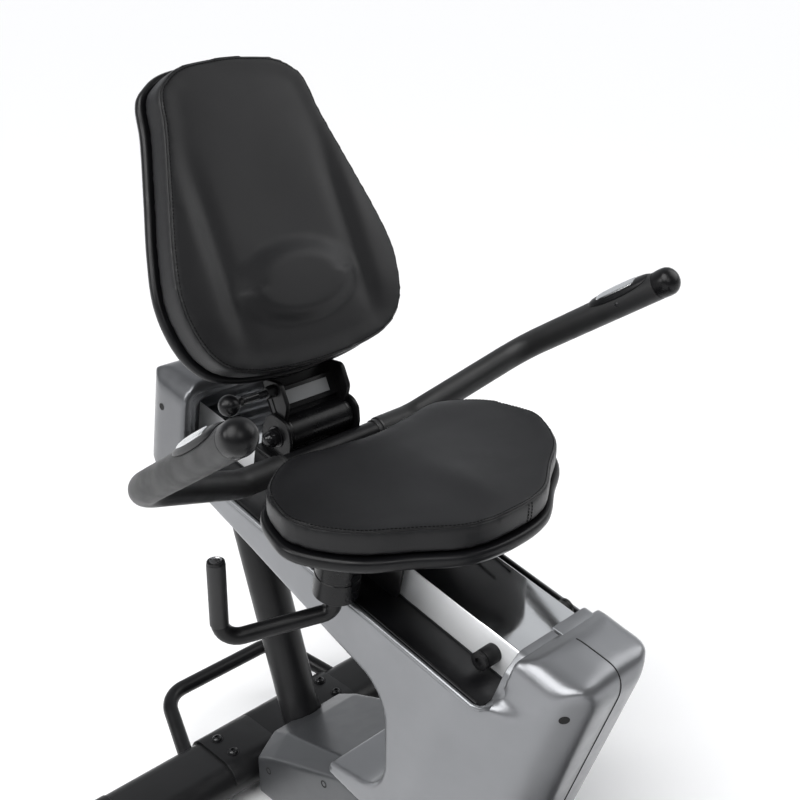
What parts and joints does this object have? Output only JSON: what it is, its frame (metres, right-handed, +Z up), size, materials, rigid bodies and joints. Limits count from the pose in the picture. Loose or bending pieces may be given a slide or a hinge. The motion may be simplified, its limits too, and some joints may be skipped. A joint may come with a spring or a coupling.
{
  "type": "exercise bike",
  "caption": "Recumbent exercise bike: a padded seat and backrest on a carriage that slides along an inclined rail, side handles with pulse plates, and a pedal drive with a console mast.",
  "frame": {"origin": "centre of the footprint on the floor, under the middle of the overall length and width", "axes": "+X is forward, the way the rider faces; +Y is the rider's left; +Z is up"},
  "size_m": [1.68, 0.7432, 1.2269],
  "materials": {
    "frame_paint": "smooth satin black powder coat",
    "rail_metal": "polished extruded aluminium with a fine brushed grain along the rail",
    "shell_silver": "silver-grey painted moulded cover",
    "trim_black": "black moulded plastic, fine texture",
    "cap_grey": "silver-grey moulded cap",
    "pad_vinyl": "black vinyl over foam, fine grain, stitched seams",
    "grip_foam": "black soft grip sleeve",
    "rubber": "black rubber",
    "steel": "plain machined steel",
    "zinc": "bright zinc-plated steel",
    "iron": "turned cast iron",
    "belt": "black ribbed rubber belt",
    "screen": "dark glass over a display, dark when off",
    "button": "grey moulded button",
    "sensor": "pulse plates of bright metal in a black moulded saddle",
    "pedal": "black moulded pedal"
  },
  "bodies": {
    "frame": {"base_beam": "frame_paint", "rear_stabilizer": "frame_paint", "front_stabilizer": "frame_paint", "stabilizer_end_caps": "trim_black", "wheel_brackets": "frame_paint", "rubber_feet": "rubber", "saddle_bracket": "frame_paint", "saddle_bolts": "zinc", "lift_handle": "frame_paint", "rear_column": "frame_paint", "rail_post": "frame_paint", "rail": "rail_metal", "rail_end_cap": "cap_grey", "rail_trays": "trim_black", "seat_housing_right": "shell_silver", "seat_housing_left": "shell_silver", "rear_shroud": "shell_silver", "rail_stops": "rubber", "cover_screws": "steel", "step_cover": "trim_black", "drive_housing_right": "shell_silver", "drive_housing_left": "shell_silver", "crank_post": "frame_paint", "crank_bearings": "steel", "flywheel_fork": "frame_paint", "flywheel_axle": "steel", "mast": "frame_paint", "front_handlebar": "grip_foam", "console_housing": "trim_black", "console_screen": "screen", "drive_belt": "belt"},
    "crank": {"crank_axle": "steel", "drive_pulley": "trim_black", "crank_arms": "frame_paint"},
    "right_pedal_body": {"right_pedal": "pedal"},
    "left_pedal_body": {"left_pedal": "pedal"},
    "flywheel_body": {"flywheel": "iron"},
    "idler": {"idler_wheel": "steel"},
    "magnet_swing": {"magnet_carrier": "steel"},
    "right_wheel": {"right_transport_wheel": "rubber"},
    "left_wheel": {"left_transport_wheel": "rubber"},
    "mode_key": {"mode_button": "button"},
    "start_key": {"start_button": "button"},
    "reset_key": {"reset_button": "button"},
    "carriage": {"carriage_frame": "frame_paint", "seat_pan": "trim_black", "seat_pad": "pad_vinyl", "side_handlebar": "frame_paint", "handle_grips": "grip_foam", "pulse_sensors": "sensor", "handle_end_caps": "trim_black", "hinge_base": "frame_paint", "hinge_pin": "zinc"},
    "rear_roller_body": {"rear_roller": "steel"},
    "front_roller_body": {"front_roller": "steel"},
    "backrest": {"back_bracket": "frame_paint", "back_shell": "trim_black", "back_pad": "pad_vinyl"},
    "knob": {"recline_knob": "trim_black"},
    "lever": {"seat_lever": "frame_paint"}
  },
  "joints": [
    {"name": "seat_slide", "type": "slide", "parent": "frame", "child": "carriage", "axis": [0.9796, 0, -0.2011], "range_m": [-0.07, 0.13]},
    {"name": "rear_roller_spin", "type": "hinge", "parent": "carriage", "child": "rear_roller_body", "pos_m": [-0.50217, 0, 0.59284], "axis": [0, 1, 0], "range_deg": [-414, 769]},
    {"name": "front_roller_spin", "type": "hinge", "parent": "carriage", "child": "front_roller_body", "pos_m": [-0.3376, 0, 0.55906], "axis": [0, 1, 0], "range_deg": [-414, 769]},
    {"name": "backrest_recline", "type": "hinge", "parent": "carriage", "child": "backrest", "pos_m": [-0.56077, 0, 0.6406], "axis": [0, 1, 0], "range_deg": [-15, 10]},
    {"name": "recline_pin_pull", "type": "slide", "parent": "backrest", "child": "knob", "axis": [0, -1, 0], "range_m": [0, 0.012], "stiffness_N_per_m": 500, "springref_m": -0.006},
    {"name": "seat_lever_turn", "type": "hinge", "parent": "carriage", "child": "lever", "pos_m": [-0.3574, -0.14, 0.52229], "axis": [0.2011, 0, 0.9796], "range_deg": [0, 25], "stiffness_Nm_per_rad": 2, "springref_deg": -17.19},
    {"name": "crank_spin", "type": "hinge", "parent": "frame", "child": "crank", "pos_m": [0.46, 0, 0.36], "axis": [0, 1, 0], "continuous": true},
    {"name": "right_pedal_spin", "type": "hinge", "parent": "crank", "child": "right_pedal_body", "pos_m": [0.59023, -0.14, 0.25073], "axis": [0, 1, 0], "continuous": true},
    {"name": "left_pedal_spin", "type": "hinge", "parent": "crank", "child": "left_pedal_body", "pos_m": [0.32977, 0.14, 0.46927], "axis": [0, 1, 0], "continuous": true},
    {"name": "flywheel_spin", "type": "hinge", "parent": "frame", "child": "flywheel_body", "pos_m": [0.65, 0, 0.272], "axis": [0, 1, 0], "continuous": true},
    {"name": "idler_spin", "type": "hinge", "parent": "frame", "child": "idler", "pos_m": [0.56999, 0, 0.22618], "axis": [0, 1, 0], "continuous": true},
    {"name": "magnet_swing_hinge", "type": "hinge", "parent": "frame", "child": "magnet_swing", "pos_m": [0.59428, 0, 0.39716], "axis": [0, 1, 0], "range_deg": [0, 10]},
    {"name": "right_wheel_spin", "type": "hinge", "parent": "frame", "child": "right_wheel", "pos_m": [0.805, -0.265, 0.045], "axis": [0, 1, 0], "continuous": true},
    {"name": "left_wheel_spin", "type": "hinge", "parent": "frame", "child": "left_wheel", "pos_m": [0.805, 0.265, 0.045], "axis": [0, 1, 0], "continuous": true},
    {"name": "mode_press", "type": "slide", "parent": "frame", "child": "mode_key", "axis": [0.9063, 0, -0.4226], "range_m": [0, 0.0025], "stiffness_N_per_m": 600, "springref_m": -0.001},
    {"name": "start_press", "type": "slide", "parent": "frame", "child": "start_key", "axis": [0.9063, 0, -0.4226], "range_m": [0, 0.0025], "stiffness_N_per_m": 600, "springref_m": -0.001},
    {"name": "reset_press", "type": "slide", "parent": "frame", "child": "reset_key", "axis": [0.9063, 0, -0.4226], "range_m": [0, 0.0025], "stiffness_N_per_m": 600, "springref_m": -0.001}
  ],
  "couplings": [
    {"joint": "flywheel_spin", "follows": "crank_spin", "ratio": 6},
    {"joint": "idler_spin", "follows": "crank_spin", "ratio": -7.5},
    {"joint": "rear_roller_spin", "follows": "seat_slide", "rad_per_m": 103.09},
    {"joint": "front_roller_spin", "follows": "seat_slide", "rad_per_m": 103.09}
  ]
}
